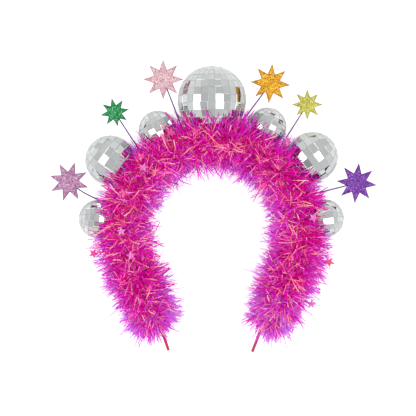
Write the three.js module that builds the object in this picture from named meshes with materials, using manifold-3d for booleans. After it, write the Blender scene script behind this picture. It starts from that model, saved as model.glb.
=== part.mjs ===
// Party headband: a springy band wound with a fringed tinsel garland, which carries
// mirror balls on short posts and glittered stars on wires. Millimetres, +Z up.
// It lies on its back: the arch opens towards -Y, its crown points to +Y, its face is up.
import * as THREE from "three";
import { mergeVertices } from "three/addons/utils/BufferGeometryUtils.js";
import Module from "manifold-3d";

const wasm = await Module();
wasm.setup();

// Band: a crown arc that runs on past the springline, then a straight leg on each side
const crownRadius = 62.4;
const leftWrap = 19;
const rightWrap = 21;
const legLength = 76.3;
const bandThickness = 2.2;
const bandWidth = 8;
const bandSegments = 20;
const tipSegments = 8;
const gap = 0.3;

// Garland: a core round the band, set a little outside it, with a fringe of locks
const garlandOffset = 4.5;
const coreRadius = 9.5;
const leftBareTip = 24;
const rightBareTip = 27;
const lockRows = 74;
const locksAround = 20;
const frontReach = 23.5;
const backReach = 27;
const endFan = 0.8;
const endFanLength = 30;
const endCone = 7;
const lockSpread = 3;
const lockLift = 2.5;
const lockShortest = 0.84;
const lockVariation = 0.3;
const lockDrift = 0.5;
const rootVariation = 0.15;

// Block below the floor that trims the fringe where it lies
const floorSide = 400;
const floorDepth = 20;

// How far the fringe reaches from the core's middle, by the share of the band's length
const fringe = [
  { share: 0.03, outer: 17, inner: 15 },
  { share: 0.06, outer: 20, inner: 18 },
  { share: 0.1, outer: 24, inner: 27 },
  { share: 0.13, outer: 26, inner: 25 },
  { share: 0.17, outer: 26, inner: 21 },
  { share: 0.21, outer: 28, inner: 22.5 },
  { share: 0.27, outer: 27, inner: 18.5 },
  { share: 0.33, outer: 27, inner: 21.5 },
  { share: 0.4, outer: 27, inner: 18 },
  { share: 0.46, outer: 27, inner: 17 },
  { share: 0.53, outer: 28, inner: 19 },
  { share: 0.6, outer: 28, inner: 21.5 },
  { share: 0.66, outer: 27, inner: 20.5 },
  { share: 0.72, outer: 27, inner: 23 },
  { share: 0.79, outer: 28, inner: 23 },
  { share: 0.82, outer: 27, inner: 27 },
  { share: 0.86, outer: 25, inner: 24.5 },
  { share: 0.91, outer: 22.5, inner: 17 },
  { share: 0.94, outer: 18, inner: 13 },
];

// Mirror balls: direction from the crown's middle, distance to the ball's middle, tiles round it,
// rows of tiles between its two poles, and how far it is turned on its own axis
const balls = [
  { name: "top", angle: 90.3, distance: 102.9, diameter: 53.8, columns: 28, rows: 13, turn: 0 },
  { name: "upper_left", angle: 118.1, distance: 90.2, diameter: 30.4, columns: 18, rows: 11, turn: 2 },
  { name: "upper_right", angle: 62.5, distance: 92.8, diameter: 29.8, columns: 18, rows: 11, turn: 16 },
  { name: "left", angle: 144.9, distance: 97.7, diameter: 39, columns: 16, rows: 10, turn: 15 },
  { name: "right", angle: 36.9, distance: 98, diameter: 39.2, columns: 16, rows: 10, turn: 6 },
  { name: "lower_left", angle: 173.5, distance: 89.9, diameter: 30.2, columns: 18, rows: 11, turn: 4 },
  { name: "lower_right", angle: 6.9, distance: 88, diameter: 30.4, columns: 18, rows: 11, turn: 9.5 },
];
const poleTile = 83;
const postDiameter = 5;
const postSides = 10;
const seatColumns = 14;
const seatRows = 7;
const seatGrow = 1;

// Glittered stars: where the wire leaves the core, where the star's middle is, and the wire's sag
const stars = [
  { name: "mauve", root: 162, angle: 160.6, distance: 117.8, diameter: 31.4, turn: 28, sag: 5 },
  { name: "green", root: 134.2, angle: 129.2, distance: 119.7, diameter: 22.9, turn: 12, sag: 0 },
  { name: "pink", root: 104.9, angle: 107.9, distance: 124.3, diameter: 31.2, turn: 0, sag: 0 },
  { name: "orange", root: 82.8, angle: 68.7, distance: 123.5, diameter: 31, turn: -5, sag: 0 },
  { name: "lime", root: 49.9, angle: 53.4, distance: 123, diameter: 24, turn: 0, sag: 0 },
  { name: "violet", root: 22.3, angle: 18.8, distance: 117.9, diameter: 31.5, turn: -6, sag: 0 },
];
const glitterColors = {
  mauve: 0xc78ac0,
  green: 0x1f9a55,
  pink: 0xd69ac4,
  orange: 0xe5921c,
  lime: 0xbcc13a,
  violet: 0x5b2c9c,
};
const starPoints = 8;
const starValley = 0.5;
const starThickness = 2;
const wireDiameter = 1;
const wireSides = 6;
const wireSteps = 6;
const wireRise = 8;
const wireBend = 0.6;

// Foil stars in the fringe: place along the band, lean from straight out (0) to the face (90), reach
const foilStars = [
  { share: 0.203, lean: 95, reach: 22, turn: 10 },
  { share: 0.219, lean: 12, reach: 27.5, turn: 50 },
  { share: 0.249, lean: 82, reach: 22, turn: 5 },
  { share: 0.314, lean: 70, reach: 22, turn: 25 },
  { share: 0.3675, lean: 75, reach: 22, turn: -15 },
  { share: 0.377, lean: 55, reach: 23, turn: 35 },
  { share: 0.434, lean: 46, reach: 24, turn: -10 },
  { share: 0.47, lean: 60, reach: 23, turn: 12 },
  { share: 0.607, lean: 20, reach: 26, turn: 30 },
  { share: 0.724, lean: 60, reach: 23, turn: -25 },
  { share: 0.787, lean: 14, reach: 27.5, turn: 40 },
  { share: 0.868, lean: 14, reach: 25.5, turn: -5 },
];
const foilPoints = 5;
const foilRadius = 4;
const foilValley = 0.45;
const foilThickness = 0.6;
const foilStemWidth = 1.4;
const foilStemRoot = 7;

const radians = THREE.MathUtils.degToRad;
const arcAngle = radians(180 + leftWrap + rightWrap);
const arcLength = crownRadius * arcAngle;
const bandLength = legLength + arcLength + legLength;
const topBall = balls[0];
const tileHalfTurn = Math.PI / topBall.columns;
const tileHalfRise = radians(poleTile) / topBall.rows;
const midHeight = (topBall.diameter / 2) * Math.cos(tileHalfTurn) * Math.cos(tileHalfRise);

// Point, outward direction and forward direction at a length along the band from the left tip
function bandAt(length) {
  const onArc = THREE.MathUtils.clamp(length - legLength, 0, arcLength);
  const angle = radians(180 + leftWrap) - onArc / crownRadius;
  const past = length - legLength - onArc;
  const outward = new THREE.Vector3(Math.cos(angle), Math.sin(angle), 0);
  const forward = new THREE.Vector3(Math.sin(angle), -Math.cos(angle), 0);
  const point = outward.clone().multiplyScalar(crownRadius).addScaledVector(forward, past);
  point.z = midHeight;
  return { point, outward, forward };
}

// Place in the fringe: along the band, lean from straight out to the face, distance from the core
function garlandPoint(length, lean, reach) {
  const { point, outward } = bandAt(length);
  point.addScaledVector(outward, garlandOffset + reach * Math.cos(lean));
  point.z += reach * Math.sin(lean);
  return point;
}

function polar(angle, distance) {
  return new THREE.Vector3(Math.cos(radians(angle)), Math.sin(radians(angle)), 0).multiplyScalar(distance);
}

// A repeatable number from 0 to 1 for each pair of whole numbers
function scatter(a, b) {
  const rowStep = 127.1;
  const sideStep = 311.7;
  const gain = 43758.5453;
  const wave = Math.sin(a * rowStep + b * sideStep) * gain;
  return wave - Math.floor(wave);
}

function toSolid(geometry, matrix = new THREE.Matrix4()) {
  const bare = geometry.clone().applyMatrix4(matrix);
  bare.deleteAttribute("normal");
  bare.deleteAttribute("uv");
  const merged = mergeVertices(bare, 1e-4);
  const vertProperties = new Float32Array(merged.attributes.position.array);
  const triVerts = new Uint32Array(merged.index.array);
  return new wasm.Manifold(new wasm.Mesh({ numProp: 3, vertProperties, triVerts }));
}

function toGeometry(solid) {
  const { vertProperties, triVerts } = solid.getMesh();
  const geometry = new THREE.BufferGeometry();
  geometry.setAttribute("position", new THREE.BufferAttribute(new Float32Array(vertProperties), 3));
  geometry.setIndex(new THREE.BufferAttribute(new Uint32Array(triVerts), 1));
  geometry.computeVertexNormals();
  return geometry;
}

// Lengthwise pieces are drawn along +Y and turned to point along a direction
function turnTo(direction) {
  return new THREE.Quaternion().setFromUnitVectors(new THREE.Vector3(0, 1, 0), direction);
}

const headband = new THREE.Group();

function addPiece(name, geometry, look) {
  const mesh = new THREE.Mesh(geometry, new THREE.MeshStandardMaterial(look));
  mesh.name = name;
  headband.add(mesh);
  return mesh;
}

// Band: the arch's outline with its thickness, drawn flat and raised to its width
function bandOutline(grow = 0) {
  const halfThickness = bandThickness / 2 + grow;
  const outline = new THREE.Shape();
  const leftAngle = radians(180 + leftWrap);
  const rightAngle = radians(-rightWrap);
  const corner = (length, side) => {
    const { point, outward } = bandAt(length);
    return point.addScaledVector(outward, side * halfThickness);
  };
  const leftInner = corner(0, -1);
  const leftOuter = corner(0, 1);
  const rightOuter = corner(bandLength, 1);
  const rightInner = corner(bandLength, -1);
  outline.moveTo(leftInner.x, leftInner.y);
  outline.lineTo(leftOuter.x, leftOuter.y);
  outline.absarc(0, 0, crownRadius + halfThickness, leftAngle, rightAngle, true);
  outline.lineTo(rightOuter.x, rightOuter.y);
  outline.lineTo(rightInner.x, rightInner.y);
  outline.absarc(0, 0, crownRadius - halfThickness, rightAngle, leftAngle, false);
  return outline;
}

// What is cut from a tip to round it like a tongue
function tipCutter({ point, outward, forward }, side) {
  const round = bandWidth / 2;
  const margin = 1;
  const notch = new THREE.Shape();
  notch.moveTo(-round, round);
  notch.absarc(-round, 0, round, Math.PI / 2, -Math.PI / 2, true);
  notch.lineTo(-round, -round - margin);
  notch.lineTo(margin, -round - margin);
  notch.lineTo(margin, round + margin);
  notch.lineTo(-round, round + margin);
  const depth = bandThickness + 2 * margin;
  const cutter = new THREE.ExtrudeGeometry(notch, { depth, bevelEnabled: false, curveSegments: tipSegments });
  cutter.translate(0, 0, -depth / 2);
  const along = forward.clone().multiplyScalar(side);
  const up = new THREE.Vector3(0, 0, 1);
  const across = new THREE.Vector3().crossVectors(along, up);
  const place = new THREE.Matrix4().makeBasis(along, up, across).setPosition(point);
  return toSolid(cutter, place);
}

function bandSolid(grow = 0) {
  const depth = bandWidth + 2 * grow;
  const settings = { depth, bevelEnabled: false, curveSegments: bandSegments };
  const arch = new THREE.ExtrudeGeometry(bandOutline(grow), settings);
  return toSolid(arch.translate(0, 0, midHeight - depth / 2));
}

function makeBand() {
  const rounded = bandSolid()
    .subtract(tipCutter(bandAt(0), -1))
    .subtract(tipCutter(bandAt(bandLength), 1));
  addPiece("band", toGeometry(rounded), { color: 0xb02a4e, roughness: 0.5 });
}

// Mirror ball: flat tiles in rows round an axis that points away from the head
function ballGeometry({ diameter, columns, rows, turn }, grow = 0) {
  const radius = diameter / 2 + grow;
  const profile = [];
  for (let ring = 0; ring <= rows; ring++) {
    const tilt = radians(poleTile) * ((2 * ring) / rows - 1);
    profile.push(new THREE.Vector2(radius * Math.cos(tilt), radius * Math.sin(tilt)));
  }
  profile.unshift(new THREE.Vector2(0, profile[0].y));
  profile.push(new THREE.Vector2(0, profile.at(-1).y));
  const geometry = new THREE.LatheGeometry(profile, columns);
  return geometry.rotateY(Math.PI / columns + radians(turn));
}

function ballPlace({ angle, distance }) {
  const position = polar(angle, distance).setZ(midHeight);
  return new THREE.Matrix4().compose(position, turnTo(polar(angle, 1)), new THREE.Vector3(1, 1, 1));
}

// Post: a peg from the band's outer face to the tile at the ball's pole
function postSpan({ distance, diameter }) {
  const from = crownRadius + bandThickness / 2 + gap;
  const to = distance - (diameter / 2) * Math.sin(radians(poleTile)) - gap;
  return { middle: (from + to) / 2, length: to - from };
}

function postGeometry(ball, grow = 0) {
  const radius = postDiameter / 2 + grow;
  return new THREE.CylinderGeometry(radius, radius, postSpan(ball).length + 4 * grow, postSides);
}

function postPlace(ball) {
  return ballPlace({ angle: ball.angle, distance: postSpan(ball).middle });
}

function addPlaced(name, geometry, matrix, look) {
  const mesh = addPiece(name, geometry, look);
  matrix.decompose(mesh.position, mesh.quaternion, mesh.scale);
}

function makeBalls() {
  for (const ball of balls) {
    const silver = { color: 0xd2d6d6, roughness: 0.12, metalness: 1 };
    addPlaced("ball_" + ball.name, ballGeometry(ball), ballPlace(ball), silver);
    addPlaced("post_" + ball.name, postGeometry(ball), postPlace(ball), { color: 0xe8e8e8, roughness: 0.6 });
  }
}

function starOutline(points, radius, valley, turn) {
  const outline = new THREE.Shape();
  for (let i = 0; i < 2 * points; i++) {
    const reach = i % 2 ? radius * valley : radius;
    const corner = radians(90 + turn) + (i * Math.PI) / points;
    const draw = i ? "lineTo" : "moveTo";
    outline[draw](reach * Math.cos(corner), reach * Math.sin(corner));
  }
  return outline;
}

// Wire: leaves the core on its face side, sags a little and ends behind the star
function wirePath(star) {
  const root = polar(star.root, crownRadius + garlandOffset).setZ(midHeight + wireRise / 2);
  const tip = polar(star.angle, star.distance).setZ(midHeight + wireRise);
  const bend = root.clone().lerp(tip, wireBend);
  bend.add(new THREE.Vector3(0, -2 * star.sag, wireRise / 4));
  return new THREE.QuadraticBezierCurve3(root, bend, tip);
}

function wireGeometry(star, grow = 0) {
  const radius = wireDiameter / 2 + grow;
  const round = new THREE.Path().absarc(0, 0, radius, 0, 2 * Math.PI, false);
  const section = new THREE.Shape(round.getPoints(wireSides / 2).slice(0, -1));
  const settings = { steps: wireSteps, extrudePath: wirePath(star), bevelEnabled: false };
  return new THREE.ExtrudeGeometry(section, settings);
}

function makeStars() {
  for (const star of stars) {
    addPiece("wire_" + star.name, wireGeometry(star), { color: 0x5a4a86, roughness: 0.35, metalness: 0.8 });
    const outline = starOutline(starPoints, star.diameter / 2, starValley, star.turn);
    const body = new THREE.ExtrudeGeometry(outline, { depth: starThickness, bevelEnabled: false });
    const mesh = addPiece("star_" + star.name, body, { color: glitterColors[star.name], roughness: 0.6 });
    const lift = midHeight + wireRise + wireDiameter / 2 + gap;
    mesh.position.copy(polar(star.angle, star.distance)).setZ(lift);
  }
}

// Foil star: a thin five-pointed plate on a narrow stem that is rooted in the core
function foilSolid({ share, lean, reach, turn }, grow = 0) {
  const length = share * bandLength;
  const middle = garlandPoint(length, radians(lean), reach);
  const root = garlandPoint(length, radians(lean), foilStemRoot - grow);
  const thickness = foilThickness + 2 * grow;
  const outline = starOutline(foilPoints, foilRadius + 2 * grow, foilValley, turn);
  const plate = new THREE.ExtrudeGeometry(outline, { depth: thickness, bevelEnabled: false });
  plate.translate(0, 0, -thickness / 2);
  const stemLength = middle.distanceTo(root);
  const stem = new THREE.BoxGeometry(foilStemWidth + 2 * grow, stemLength, thickness);
  const direction = middle.clone().sub(root).normalize();
  const stemMiddle = middle.clone().lerp(root, 0.5);
  const stemPlace = new THREE.Matrix4().compose(stemMiddle, turnTo(direction), new THREE.Vector3(1, 1, 1));
  const platePlace = new THREE.Matrix4().makeTranslation(middle);
  return toSolid(plate, platePlace).add(toSolid(stem, stemPlace));
}

function makeFoilStars() {
  foilStars.forEach((foil, i) => {
    const name = "foil_" + String(i + 1).padStart(2, "0");
    addPiece(name, toGeometry(foilSolid(foil)), { color: 0xf58fb4, roughness: 0.25, metalness: 0.4 });
  });
}

function fringeReach(share, column) {
  const next = fringe.findIndex((row) => row.share > share);
  const b = fringe[next < 0 ? fringe.length - 1 : Math.max(next, 1)];
  const a = fringe[fringe.indexOf(b) - 1];
  const t = THREE.MathUtils.clamp((share - a.share) / (b.share - a.share), 0, 1);
  return a[column] + t * (b[column] - a[column]);
}

// Length of a lock by its lean: an oval through the outer, inner, front and back reaches
function lockReach(share, lean) {
  const across = Math.cos(lean) / fringeReach(share, Math.cos(lean) > 0 ? "outer" : "inner");
  const deep = Math.sin(lean) / (Math.sin(lean) > 0 ? frontReach : backReach);
  return Math.min(1 / Math.hypot(across, deep), backReach);
}

// A lock that would end inside a ball is bent out to lie on it
function clearOfBalls(tip) {
  for (const { angle, distance, diameter } of balls) {
    const middle = polar(angle, distance).setZ(midHeight);
    const away = tip.clone().sub(middle);
    const clear = diameter / 2 + lockLift;
    if (away.length() < clear) {
      tip.copy(middle).add(away.setLength(clear));
    }
  }
  return tip;
}

// Garland skin: a tube whose every other grid point is pulled out into a lock's tip
function fringeGeometry() {
  const from = leftBareTip;
  const to = bandLength - rightBareTip;
  const corners = [];
  const triangles = [];
  const cornerAt = (row, side) => row * locksAround + (side % locksAround);
  for (let row = 0; row <= lockRows; row++) {
    const length = from + ((to - from) * row) / lockRows;
    const nearEnd = Math.max(0, 1 - Math.min(length - from, to - length) / endFanLength);
    const endWay = length - from < to - length ? -1 : 1;
    for (let side = 0; side < locksAround; side++) {
      const isTip = (row + side) % 2 === 0;
      const drift = scatter(row, side) - 0.5;
      const lean = ((side + (isTip ? lockDrift * drift : 0)) * 2 * Math.PI) / locksAround;
      const lockShare = lockShortest + lockVariation * scatter(side, row);
      const tipReach = lockReach(length / bandLength, lean) * lockShare;
      const reach = isTip ? tipReach : coreRadius * (1 + rootVariation * drift);
      const corner = garlandPoint(length, lean, reach);
      const fan = endWay * endFan * nearEnd * (reach - coreRadius);
      const sweep = isTip ? lockSpread * drift + fan : 0;
      corner.addScaledVector(bandAt(length).forward, sweep);
      corners.push(isTip ? clearOfBalls(corner) : corner);
    }
  }
  for (let row = 0; row < lockRows; row++) {
    for (let side = 0; side < locksAround; side++) {
      const a = cornerAt(row, side);
      const b = cornerAt(row, side + 1);
      const c = cornerAt(row + 1, side + 1);
      const d = cornerAt(row + 1, side);
      const split = (row + side) % 2 === 0 ? [a, b, d, b, c, d] : [a, b, c, a, c, d];
      triangles.push(...split);
    }
  }
  for (const [row, facesBack] of [[0, true], [lockRows, false]]) {
    const hub = corners.length;
    corners.push(garlandPoint(row ? to + endCone : from - endCone, 0, 0));
    for (let side = 0; side < locksAround; side++) {
      const a = cornerAt(row, side);
      const b = cornerAt(row, side + 1);
      triangles.push(...(facesBack ? [hub, b, a] : [hub, a, b]));
    }
  }
  const skin = new THREE.BufferGeometry().setFromPoints(corners);
  return skin.setIndex(triangles);
}

function makeTinsel() {
  let solid = toSolid(fringeGeometry()).subtract(bandSolid(gap));
  for (const ball of balls) {
    const seat = { diameter: ball.diameter, columns: seatColumns, rows: seatRows, turn: 0 };
    solid = solid.subtract(toSolid(ballGeometry(seat, seatGrow), ballPlace(ball)));
    solid = solid.subtract(toSolid(postGeometry(ball, gap), postPlace(ball)));
  }
  for (const star of stars) {
    solid = solid.subtract(toSolid(wireGeometry(star, gap)));
  }
  for (const foil of foilStars) {
    solid = solid.subtract(foilSolid(foil, gap));
  }
  const floorBlock = new THREE.BoxGeometry(floorSide, floorSide, floorDepth).translate(0, 0, -floorDepth / 2);
  solid = solid.subtract(toSolid(floorBlock));
  const whole = solid.decompose().sort((a, b) => b.volume() - a.volume())[0];
  addPiece("tinsel", toGeometry(whole), { color: 0xe0118c, roughness: 0.35 });
}

makeBand();
makeBalls();
makeStars();
makeFoilStars();
makeTinsel();

// The origin is on the floor under the middle of the whole
const box = new THREE.Box3().setFromObject(headband);
const middle = box.getCenter(new THREE.Vector3());
headband.position.set(-middle.x, -middle.y, -box.min.z);

export default headband;
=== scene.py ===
from math import atan2, copysign, cos, pi, radians, sin, sqrt

import bmesh
import bpy
import numpy as np
from mathutils import Matrix, Vector


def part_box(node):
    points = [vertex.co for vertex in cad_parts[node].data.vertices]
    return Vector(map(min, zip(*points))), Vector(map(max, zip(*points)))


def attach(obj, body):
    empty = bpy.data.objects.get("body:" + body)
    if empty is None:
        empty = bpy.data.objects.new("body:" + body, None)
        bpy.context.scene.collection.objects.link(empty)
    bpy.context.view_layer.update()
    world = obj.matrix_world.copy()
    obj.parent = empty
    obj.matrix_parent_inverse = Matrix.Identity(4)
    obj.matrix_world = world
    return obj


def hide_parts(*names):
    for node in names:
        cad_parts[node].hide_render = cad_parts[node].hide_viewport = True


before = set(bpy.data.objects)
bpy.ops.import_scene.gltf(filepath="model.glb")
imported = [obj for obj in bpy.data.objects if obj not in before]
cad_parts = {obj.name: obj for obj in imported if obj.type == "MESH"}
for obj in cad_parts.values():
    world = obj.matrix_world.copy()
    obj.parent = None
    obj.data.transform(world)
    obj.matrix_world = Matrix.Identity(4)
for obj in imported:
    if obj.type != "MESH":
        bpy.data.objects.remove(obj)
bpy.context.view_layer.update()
print("frame loaded:", len(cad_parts), "nodes")

# The arch that every piece follows, in metres and degrees
arch = {
    "radius": 0.0624, "leg": 0.0763,
    "leftWrap": 19, "rightWrap": 21,  # how far the curve goes on past the widest line
    "garlandOffset": 0.0045,  # from the band to the garland's middle
    "topBallAngle": 90.3, "topBallDistance": 0.1029,
}


def pointAt(reach, angle, rise=0.0):
    return Vector((reach * cos(angle), reach * sin(angle), rise))


topLow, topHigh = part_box("ball_top")
topWay = pointAt(1, radians(arch["topBallAngle"]))
crown = (topLow + topHigh) / 2 - topWay * arch["topBallDistance"]
arcLength = arch["radius"] * radians(180 + arch["leftWrap"] + arch["rightWrap"])
bandLength = 2 * arch["leg"] + arcLength
up = np.array([0.0, 0.0, 1.0])


def archFrame(length):
    length = np.asarray(length, dtype=float)
    onArc = np.clip(length - arch["leg"], 0, arcLength)
    before = np.clip(arch["leg"] - length, 0, None)
    past = np.clip(length - arch["leg"] - arcLength, 0, None)
    angle = radians(180 + arch["leftWrap"]) - onArc / arch["radius"]
    flat = np.zeros_like(angle)
    outward = np.stack([np.cos(angle), np.sin(angle), flat], axis=-1)
    forward = np.stack([np.sin(angle), -np.cos(angle), flat], axis=-1)
    middle = np.array(crown) + outward * arch["radius"] + forward * (past - before)[..., None]
    return middle, outward, forward


def archMatrix(length, offset=0.0, across=1.0, deep=1.0):
    middle, outward, forward = archFrame(length)
    turn = Matrix((outward * across, (0, 0, deep), forward)).transposed()
    return Matrix.Translation(middle + outward * offset) @ turn.to_4x4()


# A frame at a place, with its third axis along a way
def frameAlong(place, way):
    return Matrix.Translation(place) @ way.to_track_quat("Z", "Y").to_matrix().to_4x4()


# A point in the garland, at a lean from outwards to up
def garlandPoint(length, lean, reach):
    middle, outward, forward = archFrame(length)
    turn = radians(lean)
    way = outward * cos(turn) + up * sin(turn)
    return Vector(middle + outward * arch["garlandOffset"] + way * reach)


def unit(ways):
    return ways / np.linalg.norm(ways, axis=-1, keepdims=True)


# Turn each way by its own angle towards another way
def towards(ways, others, angles):
    return ways * np.cos(angles)[:, None] + others * np.sin(angles)[:, None]


# Linear light of a colour; all the pieces give theirs in screen levels
def paint(red, green, blue):
    def linear(level):
        level = level / 255
        return level / 12.92 if level <= 0.04045 else ((level + 0.055) / 1.055) ** 2.4

    return (linear(red), linear(green), linear(blue), 1.0)


def addObject(name, data):
    added = bpy.data.objects.new(name, data)
    bpy.context.scene.collection.objects.link(added)
    return added


def meshOf(name, bm):
    mesh = bpy.data.meshes.new(name)
    bm.to_mesh(mesh)
    bm.free()
    return mesh


def meshFrom(name, corners, faces):
    mesh = bpy.data.meshes.new(name)
    mesh.from_pydata(corners, [], faces)
    mesh.update()
    return mesh


# A value for each corner of a mesh, for its finish to read
def addLayer(mesh, layer, values):
    mesh.attributes.new(layer, "FLOAT", "POINT").data.foreach_set("value", values)


def placePiece(mesh, material, node, smooth=None):
    if smooth is not None:
        mesh.set_sharp_from_angle(angle=radians(smooth))
    mesh.materials.append(material)
    piece = addObject(mesh.name, mesh)
    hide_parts(node)
    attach(piece, "root")


def newCorners(grown):
    return [part for part in grown if isinstance(part, bmesh.types.BMVert)]


# Pull one closed ring through a row of frames by extruding its end face
def sweep(bm, frames, ring):
    face = bm.faces.new([bm.verts.new(frames[0] @ corner) for corner in ring])
    for step, (here, there) in enumerate(zip(frames, frames[1:])):
        grown = bmesh.ops.extrude_face_region(bm, geom=[face])["geom"]
        bmesh.ops.transform(bm, matrix=there @ here.inverted(), verts=newCorners(grown))
        if step and face.is_valid:
            bmesh.ops.delete(bm, geom=[face], context="FACES_ONLY")
        face = next(part for part in grown if isinstance(part, bmesh.types.BMFace))
    bmesh.ops.recalc_face_normals(bm, faces=bm.faces)
    for side in bm.faces:
        side.smooth = True


def roundRing(radius, sides):
    return [pointAt(radius, 2 * pi * side / sides) for side in range(sides)]


# Draw every other point of a circle in; zero is the angle of the first point
def pullPoints(corners, shape, radius, start, zero=0.0):
    step = pi / shape["points"]
    for vertex in corners:
        spoke = round((atan2(vertex.co.y, vertex.co.x) - zero) / step)
        far = radius if spoke % 2 == 0 else radius * shape["valley"]
        vertex.co = pointAt(far, start + spoke * step)


# Node inputs take a value or another node's socket
def feed(tree, node, inputs):
    for name, value in inputs.items():
        if isinstance(value, bpy.types.NodeSocket):
            tree.links.new(value, node.inputs[name])
        else:
            node.inputs[name].default_value = value


def addNode(tree, kind, inputs=(), **settings):
    node = tree.nodes.new("ShaderNode" + kind)
    for name, value in settings.items():
        setattr(node, name, value)
    feed(tree, node, dict(inputs))
    return node


def newMaterial(name, inputs=()):
    material = bpy.data.materials.new(name)
    material.use_nodes = True
    tree = material.node_tree
    shader = tree.nodes["Principled BSDF"]
    feed(tree, shader, dict(inputs))
    return material, tree, shader


def addRamp(tree, stops, factor):
    ramp = addNode(tree, "ValToRGB", {"Fac": factor})
    marks = ramp.color_ramp.elements
    while len(marks) < len(stops):
        marks.new(0.5)
    for mark, (place, colour) in zip(marks, stops):
        mark.position = place
        mark.color = paint(*colour)
    return ramp.outputs["Color"]


def addMix(tree, factor, first, second, blend="MIX"):
    inputs = {0: factor, 6: first, 7: second}  # the sockets of a mix of colours
    return addNode(tree, "Mix", inputs, data_type="RGBA", blend_type=blend).outputs[2]


# Map one stretch of values to another, each given as low and high
def addRange(tree, value, given, wanted=(0.0, 1.0), smooth=False):
    names = ("Value", "From Min", "From Max", "To Min", "To Max")
    inputs = dict(zip(names, (value, *given, *wanted)))
    kind = "SMOOTHSTEP" if smooth else "LINEAR"
    return addNode(tree, "MapRange", inputs, interpolation_type=kind).outputs["Result"]


def addMath(tree, operation, first, second=0.0):
    return addNode(tree, "Math", {0: first, 1: second}, operation=operation).outputs[0]


def addBump(tree, shader, height, strength, distance):
    inputs = {"Height": height, "Strength": strength, "Distance": distance}
    bump = addNode(tree, "Bump", inputs)
    feed(tree, shader, {"Normal": bump.outputs["Normal"]})


def newGroup(name, inputs, outputs):
    group = bpy.data.node_groups.new(name, "ShaderNodeTree")
    for side, sockets in (("INPUT", inputs), ("OUTPUT", outputs)):
        for label, kind in sockets.items():
            group.interface.new_socket(name=label, in_out=side, socket_type="NodeSocket" + kind)
    return group, group.nodes.new("NodeGroupInput").outputs, group.nodes.new("NodeGroupOutput")


# Soft mottling that the plain finishes share: a mask, a roughness and a height
mottleLook = {"detail": 4.0, "edges": (0.35, 0.65)}


def makeMottle():
    group, given, result = newGroup(
        "softMottle",
        {"Scale": "Float", "Smooth": "Float", "Rough": "Float"},
        {"Mask": "Float", "Roughness": "Float", "Height": "Float"},
    )
    place = addNode(group, "TexCoord").outputs["Object"]
    inputs = {"Vector": place, "Scale": given["Scale"], "Detail": mottleLook["detail"]}
    noise = addNode(group, "TexNoise", inputs).outputs["Fac"]
    mask = addRange(group, noise, mottleLook["edges"], smooth=True)
    rough = addRange(group, mask, (0.0, 1.0), (given["Smooth"], given["Rough"]))
    feed(group, result, {"Mask": mask, "Roughness": rough, "Height": noise})
    return group


mottle = makeMottle()


# Roughness and relief of a mottled finish; its colour can follow the mask
def addMottle(tree, shader, look):
    low, high = look["roughness"]
    inputs = {"Scale": look["grain"], "Smooth": low, "Rough": high}
    soft = addNode(tree, "Group", inputs, node_tree=mottle)
    feed(tree, shader, {"Roughness": soft.outputs["Roughness"]})
    if "relief" in look:
        addBump(tree, shader, soft.outputs["Height"], *look["relief"])
    return soft.outputs["Mask"]


def mottledFinish(name, look):
    material, tree, shader = newMaterial(name, look.get("shader", ()))
    first, second = look["colours"]
    colour = addMix(tree, addMottle(tree, shader, look), paint(*first), paint(*second))
    feed(tree, shader, {"Base Color": colour})
    return material


# Loose glitter: every cell is one flake with its own shade, gloss and height
glitterLook = {"dark": (0.0, 0.3), "bright": (0.7, 1.0), "roughness": (0.22, 0.6)}


def makeGlitter():
    group, given, result = newGroup(
        "looseGlitter",
        {"Dark": "Color", "Base": "Color", "Bright": "Color", "Scale": "Float"},
        {"Color": "Color", "Roughness": "Float", "Height": "Float"},
    )
    place = addNode(group, "TexCoord").outputs["Object"]
    inputs = {"Vector": place, "Scale": given["Scale"]}
    cells = addNode(group, "TexVoronoi", inputs, feature="F1")
    parts = addNode(group, "SeparateColor", {"Color": cells.outputs["Color"]})
    shade, gloss, lift = parts.outputs
    darker = addRange(group, shade, glitterLook["dark"], (1.0, 0.0), smooth=True)
    lighter = addRange(group, shade, glitterLook["bright"], smooth=True)
    first = addMix(group, darker, given["Base"], given["Dark"])
    colour = addMix(group, lighter, first, given["Bright"])
    rough = addRange(group, gloss, (0.0, 1.0), glitterLook["roughness"])
    feed(group, result, {"Color": colour, "Roughness": rough, "Height": lift})
    return group


glitter = makeGlitter()

# Camera straight above, at the photograph's angle
camera = {"height": 1.2, "width": 0.3245, "sideways": -0.00351, "upwards": 0.01872, "sensor": 36}
lens = bpy.data.cameras.new("camera")
lens.sensor_width = camera["sensor"]
lens.lens = camera["sensor"] * camera["height"] / camera["width"]
eye = addObject("camera", lens)
eye.location = crown + Vector((camera["sideways"], camera["upwards"], camera["height"]))
bpy.context.scene.camera = eye
bpy.context.scene.view_settings.view_transform = "Standard"

# Pale sweep of floor
floorLook = {
    "size": 6.0, "cells": 8,
    "glow": 0.5,  # the paper is lit up for the camera, not for the mirrors
    "shader": {"Base Color": (0.93, 0.93, 0.93, 1), "Roughness": 0.8, "Emission Color": (1, 1, 1, 1)},
}


def makeFloor():
    bm = bmesh.new()
    cells = floorLook["cells"]
    bmesh.ops.create_grid(bm, x_segments=cells, y_segments=cells, size=floorLook["size"] / 2)
    floor = addObject("floor", meshOf("floor", bm))
    material, tree, shader = newMaterial("floorPaper", floorLook["shader"])
    seen = addNode(tree, "LightPath").outputs["Is Camera Ray"]
    feed(tree, shader, {"Emission Strength": addMath(tree, "MULTIPLY", seen, floorLook["glow"])})
    floor.data.materials.append(material)


makeFloor()

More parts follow.
